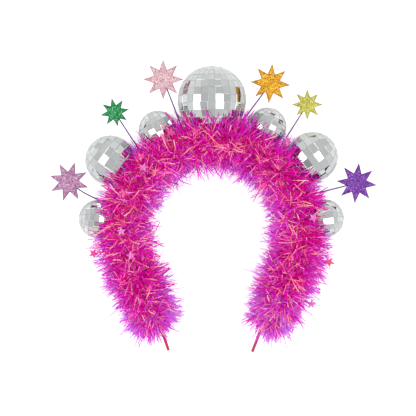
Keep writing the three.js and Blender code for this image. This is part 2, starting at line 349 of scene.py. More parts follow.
# Studio: a grey ceiling, a brighter horizon, a dim patch and two softboxes
studio = {
    "ceiling": (0.52, 0.535, 0.53, 1), "horizon": (0.69, 0.69, 0.69, 1),
    "skyline": (0.15, 0.75),  # height at which the one turns into the other
    "cloudScale": 3.2, "cloudDetail": 2.0, "cloudEdges": (0.3, 0.7), "cloudShade": (0.95, 1.05),
    "patch": (0.2, 0.2, 0.21, 1), "patchSize": 14, "patchDepth": 0.75,
    "patchAim": (-21, -37),  # degrees right of and above the zenith
    "patchEdge": (1.4, 0.6),  # the patch fades in between these shares of its size
    # name, degrees right of and above the zenith, width, height, power
    "boxes": (("softboxLeft", -41, -4, 0.8, 1.0, 8.5), ("softboxRight", 25.5, -4.5, 1.12, 0.95, 10.5)),
    "boxDistance": 1.7, "strength": 1.5,
}


def aim(right, above):
    spread = Vector((radians(right), radians(above)))
    tilt = spread.length
    side = spread.normalized()
    return Vector((side.x * sin(tilt), side.y * sin(tilt), cos(tilt)))


def makeWorld():
    world = bpy.data.worlds.new("studio")
    bpy.context.scene.world = world
    world.use_nodes = True
    tree = world.node_tree
    way = addNode(tree, "TexCoord").outputs["Generated"]
    parts = addNode(tree, "SeparateXYZ", {"Vector": way})
    height = addRange(tree, parts.outputs["Z"], studio["skyline"], smooth=True)
    sky = addMix(tree, height, studio["horizon"], studio["ceiling"])
    inputs = {"Vector": way, "Scale": studio["cloudScale"], "Detail": studio["cloudDetail"]}
    noise = addNode(tree, "TexNoise", inputs).outputs["Fac"]
    cloud = addRange(tree, noise, studio["cloudEdges"], studio["cloudShade"])
    sky = addMix(tree, 1.0, sky, cloud, "MULTIPLY")
    inputs = {0: way, 1: aim(*studio["patchAim"])}
    near = addNode(tree, "VectorMath", inputs, operation="DOT_PRODUCT").outputs["Value"]
    edge = [cos(radians(studio["patchSize"] * share)) for share in studio["patchEdge"]]
    shade = addRange(tree, near, edge, (0.0, studio["patchDepth"]), smooth=True)
    sky = addMix(tree, shade, sky, studio["patch"])
    feed(tree, tree.nodes["Background"], {"Color": sky, "Strength": studio["strength"]})


def makeSoftbox(name, right, above, wide, high, power):
    light = bpy.data.lights.new(name, "AREA")
    light.shape = "RECTANGLE"
    light.size = wide
    light.size_y = high
    light.energy = power
    box = addObject(name, light)
    way = aim(right, above)
    box.location = crown + way * studio["boxDistance"]
    box.rotation_euler = way.to_track_quat("Z", "Y").to_euler()


makeWorld()
for box in studio["boxes"]:
    makeSoftbox(*box)
print("camera, floor and studio set")

# Band: a springy strip wound with satin ribbon, its ends rounded
band = {
    "thickness": 0.0022, "width": 0.008, "corner": 0.0009, "smooth": 50,
    "ribbonPitch": 0.0026,
    "ridge": 0.05,  # share of the thickness
    "tipRound": 0.004,
    "tipBlunt": 0.25,  # share of the width left at the tip
    "colours": ((150, 8, 52), (205, 34, 84)),
    "grain": 700.0, "roughness": (0.32, 0.52), "relief": (0.25, 0.0002),
    "shader": {"Sheen Weight": 0.4, "Sheen Roughness": 0.4},
}


def makeBand():
    # Half a turn of ribbon between frames, so the strip rises and falls with each turn
    steps = int(bandLength / band["ribbonPitch"]) * 2
    blunt = band["tipBlunt"]
    frames = []
    for step in range(steps + 1):
        length = bandLength * step / steps
        toEnd = min(length, bandLength - length)
        close = min(toEnd / band["tipRound"], 1.0)
        taper = blunt + (1 - blunt) * sqrt(1 - (1 - close) ** 2)
        ridge = 1.0 if step % 2 else 1.0 - band["ridge"]
        frames.append(archMatrix(length, 0.0, ridge, taper * ridge))
    bm = bmesh.new()
    half = Vector((band["thickness"] / 2, band["width"] / 2))
    cut = band["corner"]
    ring = []
    for sideX, sideY in ((1, 1), (-1, 1), (-1, -1), (1, -1)):
        across = Vector((sideX * (half.x - cut), sideY * half.y, 0))
        down = Vector((sideX * half.x, sideY * (half.y - cut), 0))
        ring += [down, across] if sideX * sideY > 0 else [across, down]
    sweep(bm, frames, ring)
    material = mottledFinish("bandSatin", band)
    placePiece(meshOf("band_ribbon", bm), material, "band", band["smooth"])


makeBand()
print("band made")

# Foil stars: small five-pointed stars of pressed pink foil, each on a short stem
foil = {
    "points": 5, "radius": 0.004, "valley": 0.45, "pressed": 0.0007, "thickness": 0.0003,
    "stemWidth": 0.0012, "stemRoot": 0.007, "stemSteps": 4,
    "clearance": 1.15,  # no strand lies over a star within this many radii
    "lid": 0.0009,  # and those there pass so far below it
    # share of the band's length, lean from outwards to up, reach, turn, tone from coral to lilac
    "places": (
        (0.203, 95, 22, 10, 0.8), (0.219, 12, 27.5, 50, 0.35), (0.249, 82, 22, 5, 0.9),
        (0.314, 70, 22, 25, 0.45), (0.3675, 75, 22, -15, 0.8), (0.377, 55, 23, 35, 0.45),
        (0.434, 46, 24, -10, 0.4), (0.47, 60, 23, 12, 0.5), (0.607, 20, 26, 30, 0.7),
        (0.724, 60, 23, -25, 0.85), (0.787, 14, 27.5, 40, 0.0), (0.868, 14, 25.5, -5, 0.95),
    ),
    "colours": ((228, 92, 112), (218, 52, 146), (218, 130, 204)),
    "colourShift": (-0.08, 0.08),
    "grain": 1200.0, "roughness": (0.2, 0.42), "relief": (0.3, 0.0002),
    "shader": {"Metallic": 0.35, "Coat Weight": 0.3},
}

# Film of the tinsel: its colour along a strand, with painted highlights where it would catch the light
film = {
    # the film glows a little: painted glow, not a lamp
    "shader": {"Specular IOR Level": 0.05, "Emission Strength": 0.3},
    "roughness": (0.2, 0.45),
    "change": (0.12, 0.92),  # where the root's colour turns into the tip's
    "places": 47.0,  # strands of nearly one tone get their painted highlights far apart
    "halfWave": 0.5, "lit": (0.38, 0.48), "litShare": 0.85,
    "kinds": 41.0,  # and only some of them get one
    "catches": (0.62, 0.66),
    # Painted glow, standing in for light that comes through the film, most in the lilac tones, and for
    # glints in the glint strands
    "lilac": (0.45, 0.7), "lilacGlow": (0.05, 0.35), "glint": (0.86, 0.88), "glintGlow": (0.0, 0.55),
    # tone of the strand, then its colour at the root, at the tip and in its painted highlight; tones from
    # 0.88 up are the pale strands painted as glints
    "colours": (
        (0.0, (196, 0, 88), (220, 0, 126), (255, 90, 156)),
        (0.25, (207, 0, 154), (235, 20, 196), (255, 128, 214)),
        (0.5, (204, 0, 204), (216, 84, 226), (250, 168, 246)),
        (0.7, (210, 34, 214), (226, 138, 228), (248, 206, 246)),
        (0.82, (116, 56, 204), (160, 128, 246), (212, 190, 255)),
        (0.88, (238, 86, 168), (248, 146, 192), (255, 196, 210)),
        (0.94, (248, 116, 138), (255, 184, 160), (255, 215, 195)),
        (1.0, (238, 110, 200), (250, 200, 230), (255, 230, 240)),
    ),
}


def makeFilm():
    material, tree, shader = newMaterial("tinselFilm", film["shader"])
    chart = addNode(tree, "UVMap", uv_map="OFBake").outputs["UV"]
    tone, along = addNode(tree, "SeparateXYZ", {"Vector": chart}).outputs[:2]
    places, *columns = zip(*film["colours"])
    roots, tips, lights = (addRamp(tree, list(zip(places, colours)), tone) for colours in columns)
    change = addRange(tree, along, film["change"], smooth=True)
    colour = addMix(tree, change, roots, tips)

    # Painted highlight: each strand gets a lighter stretch of its own, where the twisting film would
    # catch the light
    phase = addMath(tree, "ADD", addMath(tree, "MULTIPLY", tone, film["places"]), along)
    wave = addMath(tree, "PINGPONG", phase, film["halfWave"])
    lit = addRange(tree, wave, film["lit"], (0.0, film["litShare"]), smooth=True)
    kind = addMath(tree, "FRACT", addMath(tree, "MULTIPLY", tone, film["kinds"]))
    catches = addRange(tree, kind, film["catches"])
    colour = addMix(tree, addMath(tree, "MULTIPLY", lit, catches), colour, lights)
    # Painted glow: emission in the lilac tones and the glint strands
    lilac = addRange(tree, tone, film["lilac"], film["lilacGlow"])
    shine = addMath(tree, "ADD", addRange(tree, tone, film["glint"], film["glintGlow"]), lilac)
    glow = addMix(tree, shine, (0, 0, 0, 1), colour)
    rough = addRange(tree, kind, (0.0, 1.0), film["roughness"])
    feed(tree, shader, {"Base Color": colour, "Emission Color": glow, "Roughness": rough})
    return material


# Tinsel: thin film strands that stand out all round a core wound on the band
tinsel = {
    "seed": 11,
    "strands": 10500,  # in each piece
    "pieces": ("tinsel_left", "tinsel_upper_left", "tinsel_upper_right", "tinsel_right"),
    "leftBare": 0.03, "rightBare": 0.032, "rootRadius": 0.0055, "floorGap": 0.0004,
    # The two ends, where the strands fan out and more of them stand
    "fanLength": 0.032, "fan": 0.95, "endTilt": 0.4, "endPull": 1.5,
    "brushShare": 0.06, "brushDepth": 0.003, "brushSpread": (0.35, 1.35),
    # Bursts that the winding gathers the strands in, and waves that keep one unlike the next
    "burst": 0.013, "burstStray": 0.004, "burstPull": 0.4, "burstTilt": 0.5, "burstReach": 0.1,
    "burstBeats": (2.3, 2.4, 1.7),
    # Standing strands lean to the tips on the outside and to the crown on the inside
    "sweep": 0.42, "tilt": 0.34, "faceTilt": 0.5, "steepest": 1.4,
    # Laid strands lie on the face of the garland
    "laidShare": 0.2, "laidSpread": 0.7, "laidRise": (0.25, 0.2), "laidReach": (0.009, 0.018),
    "laidDepth": (0.004, 0.017), "laidDroop": 0.3, "glints": 0.11, "glintsLaid": 0.6,
    # Reach of the others: a share of the outline, fewer of them long than short
    "frontReach": 0.0235, "backReach": 0.027, "shortest": 0.62, "longer": 0.5, "uneven": 1.4,
    # share of the band's length, reach outwards and inwards in millimetres
    "fringe": (
        (0.06, 22, 20), (0.1, 24, 26), (0.13, 26, 25), (0.17, 26, 21), (0.21, 28, 22), (0.27, 27, 16.5),
        (0.33, 27, 19.5), (0.4, 27, 16), (0.46, 27, 15.2), (0.53, 28, 17), (0.6, 28, 19.5),
        (0.66, 27, 18.8), (0.72, 27, 22.2), (0.79, 28, 23), (0.82, 27, 27), (0.86, 25, 24.5),
        (0.91, 23, 19), (0.94, 20, 16),
    ),
    # Tips: how far those that face up are laid over, and to which side
    "comb": 0.4, "combShare": (0.2, 1.3), "swingDoubt": 0.5, "swingSpread": 1.0,
    "droop": 0.04, "stray": 0.1, "kink": 0.0006,
    # Balls press on the strands near them, and longer strands climb over the front of a large one
    "ballNear": 1.6, "ballFace": 0.2, "ballReach": 0.95, "ballFront": 1.27,
    "climbLean": (0.5, 1.3), "climbRadius": 0.017,
    "ballPress": 0.003, "ballPressFront": 0.009, "pressUp": 0.4, "pressOut": 0.2,
    "ballGap": 0.0007, "ballGapFront": 0.0017, "ballTests": (0.3, 0.6),
    "ballSink": 0.0002,  # a strand that dips deeper would come out again through the ball
    # Strip: share of the strand's length and of its width at each ring
    "rings": ((0.0, 0.95), (0.55, 1.0), (1.0, 0.7)),
    "width": 0.0009, "widths": (0.65, 1.2), "glintWidth": 0.75, "thickness": 0.0002, "twist": 0.7,
    "chartHalf": 0.003, "chartLip": 0.02,
    # Tones, placed as painted light on the film: crimson where the garland faces up to the light, violet
    # along its edges where light would come through, and a few pale strands as painted glints
    "faceTone": 0.12, "edgeGain": 0.6, "edgeTone": (0.7, 1.2), "underFrom": -0.15,
    "underTone": (-0.1, 0.6), "climbTone": (-0.15, 0.25), "laidTone": 0.2, "endTone": 0.34,
    "toneSpread": 0.12, "toneRange": (0.01, 0.74), "glintTone": (0.89, 0.99),
    "violetShare": 0.05, "violetFace": 0.3, "violetTone": 0.81,
    # How much more violet the arch is inside, painted as light coming through the film, and on its right
    # leg, and more crimson outside
    "insideTone": 0.28, "outsideTone": -0.08, "rightTone": 0.09,
}
firstRoot = tinsel["leftBare"]
lastRoot = bandLength - tinsel["rightBare"]


def ballsOfFrame():
    found = []
    for name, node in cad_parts.items():
        if name.startswith("ball_"):
            low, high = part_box(name)
            middle = (low + high) / 2
            radius = max((vertex.co - middle).length for vertex in node.data.vertices)
            found.append((name, middle, radius))
    return found


balls = ballsOfFrame()


def strandReach(length, lean):
    shares = [row[0] * bandLength for row in tinsel["fringe"]]
    outer = np.interp(length, shares, [row[1] / 1000 for row in tinsel["fringe"]])
    inner = np.interp(length, shares, [row[2] / 1000 for row in tinsel["fringe"]])
    across = np.where(np.cos(lean) > 0, outer, inner)
    deep = np.where(np.sin(lean) > 0, tinsel["frontReach"], tinsel["backReach"])
    return 1 / np.sqrt((np.cos(lean) / across) ** 2 + (np.sin(lean) / deep) ** 2)


# Where the strands root along the band: gathered in bursts, and in a brush at either end
def rootStrands(random, count, start, end):
    length = random.uniform(start, end, count)
    brush = random.random(count) < tinsel["brushShare"]
    fromEnd = np.abs(random.normal(0, tinsel["brushDepth"], count))
    if start == firstRoot:
        length = np.where(brush, firstRoot + fromEnd, length)
    elif end == lastRoot:
        length = np.where(brush, lastRoot - fromEnd, length)
    else:
        brush[:] = False
    burst = np.round(length / tinsel["burst"]).astype(int)
    stray = tinsel["burstStray"] * np.sin(burst * tinsel["burstBeats"][0])
    apart = length - burst * tinsel["burst"] - stray
    length = np.where(brush, length, length - apart * tinsel["burstPull"])
    return length, brush, burst, apart


# How much more violet or crimson a strand is for its place on the arch; the violet inside is painted
# light coming through the film
def placeTone(length, lean, facing):
    onArc = np.minimum(length - arch["leg"], arch["leg"] + arcLength - length) / tinsel["fanLength"]
    shift = np.where(np.cos(lean) < 0, -tinsel["insideTone"], tinsel["outsideTone"] * facing)
    shift = shift * np.cos(lean) * np.clip(onArc, 0, 1)
    shift += tinsel["rightTone"] * np.clip(-onArc, 0, 1) * (length > bandLength / 2)
    return shift


# Strands that a ball would bury are left out, and the others lie round it
def clearBalls(points, press, climbing):
    kept = np.ones(len(points), dtype=bool)
    gaps = np.where(climbing, tinsel["ballGapFront"], tinsel["ballGap"])[:, None, None]
    for ball, centre, radius in balls:
        away = points - np.array(centre)
        gap = np.linalg.norm(away, axis=2, keepdims=True)
        kept &= gap[:, -1, 0] > radius - press
        clear = radius + gaps
        points = np.where(gap < clear, np.array(centre) + away / gap * clear, points)
        for share in tinsel["ballTests"]:
            between = points[:, 1] + (points[:, 2] - points[:, 1]) * share - np.array(centre)
            kept &= np.linalg.norm(between, axis=1) > radius - tinsel["ballSink"]
    return points, kept


# Strands over a foil star are pushed below it
def clearFoil(points):
    for share, lean, reach, turn, tone in foil["places"]:
        spot = np.array(garlandPoint(share * bandLength, lean, reach / 1000))
        lid = spot[2] - foil["lid"]
        aside = np.linalg.norm(points[:, :, :2] - spot[:2], axis=2)
        over = (aside < foil["radius"] * foil["clearance"]) & (points[:, :, 2] > lid)
        points[:, :, 2] = np.where(over, lid, points[:, :, 2])


# Each strand is a flat three-sided strip that twists and narrows to its tip
def stripCorners(random, points, glint):
    count = len(points)
    along = unit(points[:, -1] - points[:, 0])
    flat = unit(np.cross(along, random.normal(0, 1, (count, 3))))
    face = np.cross(along, flat)
    width = tinsel["width"] * random.uniform(*tinsel["widths"], count)
    width = width * np.where(glint, tinsel["glintWidth"], 1.0)
    twist = random.normal(0, tinsel["twist"], count)
    corners = np.empty((count, len(tinsel["rings"]), 3, 3))
    for ring, (step, narrow) in enumerate(tinsel["rings"]):
        across = towards(flat, face, twist * step)
        out = np.cross(along, across)
        half = across * (width * narrow / 2)[:, None]
        corners[:, ring, 0] = points[:, ring] - half
        corners[:, ring, 1] = points[:, ring] + half
        corners[:, ring, 2] = points[:, ring] + out * tinsel["thickness"]
    return corners


# Painted light in the tones: crimson where a strand faces up, more violet the more it stands edge-on, as
# light coming through the film; glint strands take pale painted-glint tones
def strandTones(random, facing, under, climbing, laid, midway, shift, glint):
    count = len(facing)
    edge = (1 - facing) * random.uniform(*tinsel["edgeTone"], count)
    edge = np.where(under, random.uniform(*tinsel["underTone"], count), edge)
    edge = np.where(climbing, edge + random.uniform(*tinsel["climbTone"], count), edge)
    standing = tinsel["faceTone"] + tinsel["edgeGain"] * edge + tinsel["endTone"] * (1 - midway)
    tone = np.where(laid, tinsel["laidTone"], standing)
    tone = np.clip(tone + shift + random.normal(0, tinsel["toneSpread"], count), *tinsel["toneRange"])
    violet = (random.random(count) < tinsel["violetShare"]) & (facing < tinsel["violetFace"])
    tone = np.where(violet, tinsel["violetTone"], tone)
    return np.where(glint, random.uniform(*tinsel["glintTone"], count), tone)


# One mesh of all strips; its chart holds the strand's tone across and its length along
def stripMesh(name, corners, tone):
    count = len(corners)
    steps = [step for step, narrow in tinsel["rings"]]
    spread = (-tinsel["chartHalf"], tinsel["chartHalf"], 0.0)
    last = 3 * len(steps) - 3
    sides = []
    for here in range(0, last, 3):
        for edge in range(3):
            beside = (edge + 1) % 3
            sides.append((here + edge, here + beside, here + 3 + beside, here + 3 + edge))
    ends = [(2, 1, 0), (last, last + 1, last + 2)]
    faces, rows = [], []
    for kind in (sides, ends):
        offsets = np.arange(count)[:, None, None] * (last + 3)
        faces += (offsets + np.array(kind)).reshape(-1, len(kind[0])).tolist()
        chart = np.array([[(spread[corner % 3], steps[corner // 3]) for corner in face] for face in kind])
        if kind is ends:  # opened a little, so that they cover some of the chart
            chart[0, 0, 1] += tinsel["chartLip"]
            chart[1, 2, 1] -= tinsel["chartLip"]
        each = chart[None].repeat(count, axis=0)
        each[..., 0] += tone[:, None, None]
        rows.append(each.reshape(-1))
    mesh = meshFrom(name, corners.reshape(-1, 3), faces)
    mesh.uv_layers.new(name="OFBake").data.foreach_set("uv", np.concatenate(rows))
    return mesh


def growStrands(name, count, start, end, seed, material):
    random = np.random.default_rng(seed)
    length, brush, burst, apart = rootStrands(random, count, start, end)
    middle, outward, forward = archFrame(length)
    middle = middle + outward * arch["garlandOffset"]

    # A share of the strands lies on the face of the garland, the rest stands out all round
    # Glint strands: a share of pale strands that are painted glints, narrower and most of them laid on
    # top
    glint = random.random(count) < tinsel["glints"]
    laid = random.random(count) < np.where(glint, tinsel["glintsLaid"], tinsel["laidShare"])
    laid &= ~brush
    faceLean = random.normal(pi / 2, tinsel["laidSpread"], count)
    lean = np.where(laid, faceLean, random.uniform(-pi, pi, count))
    leanOut = np.cos(lean)
    leanUp = np.sin(lean)
    facing = np.clip(leanUp, 0, 1)
    radial = towards(outward, up, lean)

    # Standing strands are swept along by the winding, and fan out at its two ends
    atLeft = np.clip(1 - (length - firstRoot) / tinsel["fanLength"], 0, 1)
    atRight = np.clip(1 - (lastRoot - length) / tinsel["fanLength"], 0, 1)
    midway = 1 - atLeft - atRight
    way = 2 * length / bandLength - 1
    tilt = random.normal(0, 1, count) * (tinsel["tilt"] + tinsel["faceTilt"] * facing)
    tilt *= tinsel["endTilt"] + (1 - tinsel["endTilt"]) * midway
    tilt += tinsel["sweep"] * way * leanOut * midway
    tilt += tinsel["burstTilt"] * apart / tinsel["burst"] * 2
    fan = np.where(brush, random.uniform(*tinsel["brushSpread"], count), tinsel["fan"])
    tilt = np.clip(tilt + (atRight - atLeft) * fan, -tinsel["steepest"], tinsel["steepest"])
    standing = towards(radial, forward, tilt)

    # Laid strands point every way, a little upwards, and towards the garland's ends near them
    course = random.uniform(-pi, pi, count)
    ahead = np.cos(course) + tinsel["endPull"] * (atRight - atLeft)
    rise = random.normal(*tinsel["laidRise"], count)
    lying = unit(forward * ahead[:, None] + outward * np.sin(course)[:, None])
    heading = np.where(laid[:, None], towards(lying, up, rise), standing)

    # Reach follows the garland's outline and changes from burst to burst and near a ball
    share = tinsel["shortest"] + tinsel["longer"] * random.random(count) ** tinsel["uneven"]
    reach = strandReach(length, lean) * share
    beats = tinsel["burstBeats"]
    beat = np.sin(burst * beats[1] + lean + np.sin(burst * beats[2] + 2 * lean))
    reach *= 1 + tinsel["burstReach"] * beat
    climbing = np.zeros(count, dtype=bool)
    lowest, steepest = tinsel["climbLean"]
    for ball, centre, radius in balls:
        gap = np.linalg.norm(middle - np.array(centre), axis=1)
        over = (gap < radius * tinsel["ballNear"]) & (leanOut > 0) & (leanUp > tinsel["ballFace"])
        climbs = over & (lean > lowest) & (lean < steepest) & (radius > tinsel["climbRadius"])
        reach = np.where(over, reach * tinsel["ballReach"], reach)
        reach = np.where(climbs, reach * tinsel["ballFront"], reach)
        climbing |= climbs
    reach = np.where(laid, random.uniform(*tinsel["laidReach"], count), reach)

    # Tips bend over: the standing ones to a side, the laid ones down on to the garland
    swing = np.where(leanOut > random.normal(0, tinsel["swingDoubt"], count), 0.0, pi)
    swing += random.normal(0, tinsel["swingSpread"], count)
    comb = tinsel["comb"] * facing * random.uniform(*tinsel["combShare"], count)
    side = towards(outward, forward, swing) * comb[:, None]
    bend = np.where(laid[:, None], -up * tinsel["laidDroop"], side - up * tinsel["droop"])
    anyWay = unit(random.normal(0, 1, (count, 3)))
    bend = bend + anyWay * random.normal(0, tinsel["stray"], count)[:, None]
    laidDepth = random.uniform(*tinsel["laidDepth"], count)
    depth = np.where(laid, laidDepth, tinsel["rootRadius"] * random.random(count))
    reach = np.where(laid, reach, reach - depth)
    root = middle + radial * depth[:, None]
    points = []
    for step, narrow in tinsel["rings"]:
        points.append(root + (heading * step + bend * step ** 2) * reach[:, None])
    points = np.stack(points, axis=1)
    points[:, 1] += random.normal(0, tinsel["kink"], (count, 3))

    # Balls, foil stars and the floor stay clear
    inFront = (leanUp > tinsel["pressUp"]) & (leanOut > tinsel["pressOut"])
    press = np.where(inFront, tinsel["ballPressFront"], tinsel["ballPress"])
    points, kept = clearBalls(points, press, climbing)
    clearFoil(points)
    points[:, :, 2] = np.maximum(points[:, :, 2], tinsel["floorGap"])
    corners = stripCorners(random, points[kept], glint[kept])
    under = leanUp < tinsel["underFrom"]
    shift = placeTone(length, lean, facing)
    traits = (facing, under, climbing, laid, midway, shift, glint)
    tone = strandTones(random, *(trait[kept] for trait in traits))
    placePiece(stripMesh(name, corners, tone), material, "tinsel")
    print(name, "has", len(corners), "strands")


def makeTinsel():
    material = makeFilm()
    parts = len(tinsel["pieces"])
    for part, name in enumerate(tinsel["pieces"]):
        start = firstRoot + (lastRoot - firstRoot) * part / parts
        end = lastRoot - (lastRoot - firstRoot) * (parts - part - 1) / parts
        growStrands(name, tinsel["strands"], start, end, tinsel["seed"] + part, material)


makeTinsel()

# Core that the strands are caught in, twisted like a rope
core = {
    "radius": 0.0048,
    "flat": 0.7,  # the rope is so much thinner one way
    "twist": 0.009,  # half a turn
    "twistSteps": 6, "sides": 12, "endGap": 0.002, "smooth": 40,
    "colours": ((96, 0, 40), (160, 0, 66)),
    "grain": 500.0, "roughness": (0.35, 0.6), "relief": (0.4, 0.0005),
}


def makeCore():
    start = firstRoot + core["endGap"]
    end = lastRoot - core["endGap"]
    steps = int((end - start) / core["twist"] * core["twistSteps"])
    frames = []
    for step in range(steps + 1):
        length = start + (end - start) * step / steps
        turn = Matrix.Rotation(pi * (length - start) / core["twist"], 4, "Z")
        frames.append(archMatrix(length, arch["garlandOffset"]) @ turn)
    ring = roundRing(core["radius"], core["sides"])
    for corner in ring:
        corner.y *= core["flat"]
    bm = bmesh.new()
    sweep(bm, frames, ring)
    material = mottledFinish("tinselCore", core)
    placePiece(meshOf("tinsel_core", bm), material, "tinsel", core["smooth"])


makeCore()
print("tinsel made")

# Mirror balls: rows of flat mirror tiles set in a pale plaster core
mirror = {
    # tiles round the ball, rows between its two poles, turn on its own axis in degrees
    "tiles": {
        "ball_top": (28, 13, 0),
        "ball_upper_left": (18, 11, 2),
        "ball_upper_right": (18, 11, 16),
        "ball_left": (16, 10, 15),
        "ball_right": (16, 10, 6),
        "ball_lower_left": (18, 11, 4),
        "ball_lower_right": (18, 11, 9.5),
    },
    "poleTile": 83,  # degrees from the equator to the tile on a pole
    "poleSide": 1.4,  # side of that tile, in radii of the ring it fills
    "slimmest": 0.5,  # narrower tiles near a pole are merged in pairs
    "joint": 0.00024, "depth": 0.0009, "jointDepth": 0.00025, "bevel": 0.0001,
    "blank": 0.005,  # side of the tile that the bevel is cut on
    "wobble": 0.5,  # degrees
    "floorGap": 0.00005, "seed": 5,
    "tones": (0.5, 0.2),  # middle and spread
    "colours": ((0.0, (192, 194, 195)), (0.5, (201, 203, 203)), (1.0, (210, 212, 212))),
    "grain": 260.0, "roughness": (0.015, 0.045), "shader": {"Metallic": 1.0},
}
plaster = {
    "colours": ((184, 187, 186), (208, 211, 210)),
    "grain": 900.0, "roughness": (0.55, 0.8), "relief": (0.3, 0.0002),
}


def makeMirrorFinish():
    material, tree, shader = newMaterial("mirrorTile", mirror["shader"])
    tone = addNode(tree, "Attribute", attribute_name="tone").outputs["Fac"]
    feed(tree, shader, {"Base Color": addRamp(tree, mirror["colours"], tone)})
    addMottle(tree, shader, mirror)
    return material


def tileShape():
    side = mirror["blank"]
    bm = bmesh.new()
    bmesh.ops.create_cube(bm, size=1.0)
    bmesh.ops.scale(bm, vec=(side, side, mirror["depth"]), verts=bm.verts)
    bmesh.ops.bevel(bm, geom=bm.edges[:], offset=mirror["bevel"], affect="EDGES", segments=1,
                    profile=0.5, material=-1)
    bmesh.ops.recalc_face_normals(bm, faces=bm.faces)
    corners = np.array([vertex.co[:] for vertex in bm.verts])
    faces = [[vertex.index for vertex in face.verts] for face in bm.faces]
    bm.free()
    return corners / np.array([side, side, 1.0]), faces


def tilesOfRow(columns, rise, rowHeight):
    count = columns
    while count % 2 == 0 and 2 * pi * cos(rise) / count < mirror["slimmest"] * rowHeight:
        count //= 2
    return count


def makeBall(name, middle, radius, tileFinish, plasterFinish, seed):
    random = np.random.default_rng(seed)
    columns, rows, spin = mirror["tiles"][name]
    pole = radians(mirror["poleTile"])
    rowHeight = 2 * pole / rows
    seam = pi / 2 - radians(spin) - pi / columns
    axis = Vector((middle.x - crown.x, middle.y - crown.y, 0)).normalized()
    frameTurn = np.array(Matrix((axis.cross(Vector(up)), Vector(up), axis)))
    shape, shapeFaces = tileShape()
    corners, faces, tones = [], [], []
    for row in range(-1, rows + 1):
        rise = (row + 0.5) * rowHeight - pole
        atPole = row in (-1, rows)
        if atPole:
            rise = copysign(pi / 2, rise)
        count = 1 if atPole else tilesOfRow(columns, rise, rowHeight)
        tall = mirror["poleSide"] * cos(pole) * radius if atPole else rowHeight * radius
        wide = tall if atPole else 2 * pi * radius * cos(rise) / count
        sink = (wide ** 2 + tall ** 2) / 8 / radius + mirror["depth"] / 2  # corners stay in the ball
        blank = shape * np.array([wide - mirror["joint"], tall - mirror["joint"], 1.0])
        if not atPole:
            blank[:, 0] *= np.cos(rise + blank[:, 1] / radius) / cos(rise)
        for column in range(count):
            turn = seam + 2 * pi * (column + 0.5) / count
            east = np.array([-sin(turn), cos(turn), 0])
            out = np.array([cos(turn), sin(turn), 0]) * cos(rise) + up * sin(rise)
            north = np.cross(out, east)
            lean = np.radians(random.normal(0, mirror["wobble"], 2))
            out = unit(out + east * lean[0] + north * lean[1])
            east = unit(np.cross(north, out))
            north = np.cross(out, east)
            tile = blank @ np.stack([east, north, out]) + out * (radius - sink)
            tile = tile @ frameTurn + np.array(middle)
            tile[:, 2] = np.maximum(tile[:, 2], mirror["floorGap"])
            start = len(corners) * len(shape)
            corners.append(tile)
            faces += [[start + corner for corner in face] for face in shapeFaces]
            tones.append(np.full(len(shape), np.clip(random.normal(*mirror["tones"]), 0, 1)))
    mesh = meshFrom(name + "_tiles", np.concatenate(corners), faces)
    addLayer(mesh, "tone", np.concatenate(tones))
    placePiece(mesh, tileFinish, name)

    # The plaster has the same facets, a joint's depth lower
    bm = bmesh.new()
    inner = radius - mirror["jointDepth"]
    rises = [row * rowHeight - pole for row in range(rows + 1)]
    line = [(inner * cos(rise), inner * sin(rise)) for rise in rises]
    line = [(0, line[0][1])] + line + [(0, line[-1][1])]
    points = [bm.verts.new(pointAt(reach, seam, level)) for reach, level in line]
    edges = [bm.edges.new(ends) for ends in zip(points, points[1:])]
    bmesh.ops.spin(bm, geom=points + edges, axis=(0, 0, 1), angle=2 * pi, steps=columns,
                   use_merge=True)
    bmesh.ops.remove_doubles(bm, verts=bm.verts, dist=mirror["bevel"] / 10)
    turned = Matrix(frameTurn.tolist()).transposed().to_4x4()
    bmesh.ops.transform(bm, matrix=Matrix.Translation(middle) @ turned, verts=bm.verts)
    bmesh.ops.recalc_face_normals(bm, faces=bm.faces)
    placePiece(meshOf(name + "_core", bm), plasterFinish, name)


tileFinish = makeMirrorFinish()
plasterFinish = mottledFinish("tilePlaster", plaster)
for number, (name, middle, radius) in enumerate(balls):
    makeBall(name, middle, radius, tileFinish, plasterFinish, mirror["seed"] + number)
print("mirror balls made")

# Glitter stars: foam plates with eight points, dusted with loose flakes
star = {
    "points": 8, "valley": 0.5, "bevel": 0.0003, "smooth": 40,
    "level": 1e-6,  # an edge whose ends differ less in height runs round the rim
    "rim": 0.0011,  # the cut edge and the thin tips have fewer flakes and, within this width, painted shade
    # painted shade: how far the rim and the thin tips darken towards the dark flakes
    "rimShade": 0.6, "grain": 1500.0, "relief": (0.8, 0.0004), "shader": {"Metallic": 0.3},
    "seed": 21,
    "flakes": 900,
    "flakeTries": 4,  # spots tried for each flake
    "flakeField": 0.97, "flakeMargin": 0.02,
    "flakeCorners": 6, "flakeSize": 0.00042, "flakeSizes": (0.6, 1.2),
    "flakeSlant": 0.3, "flakeLift": 0.7, "flakeSink": 0.00004,
    # turn of the first point, then the dark, base and bright flakes
    "kinds": {
        "mauve": (28, (124, 66, 110), (186, 134, 172), (236, 200, 226)),
        "green": (12, (2, 70, 34), (24, 150, 80), (150, 226, 176)),
        "pink": (0, (170, 112, 126), (222, 180, 190), (250, 228, 232)),
        "orange": (-5, (120, 62, 0), (232, 164, 14), (255, 224, 96)),
        "lime": (0, (140, 136, 44), (204, 197, 84), (242, 240, 170)),
        "violet": (-6, (62, 22, 104), (118, 52, 160), (190, 122, 220)),
    },
}


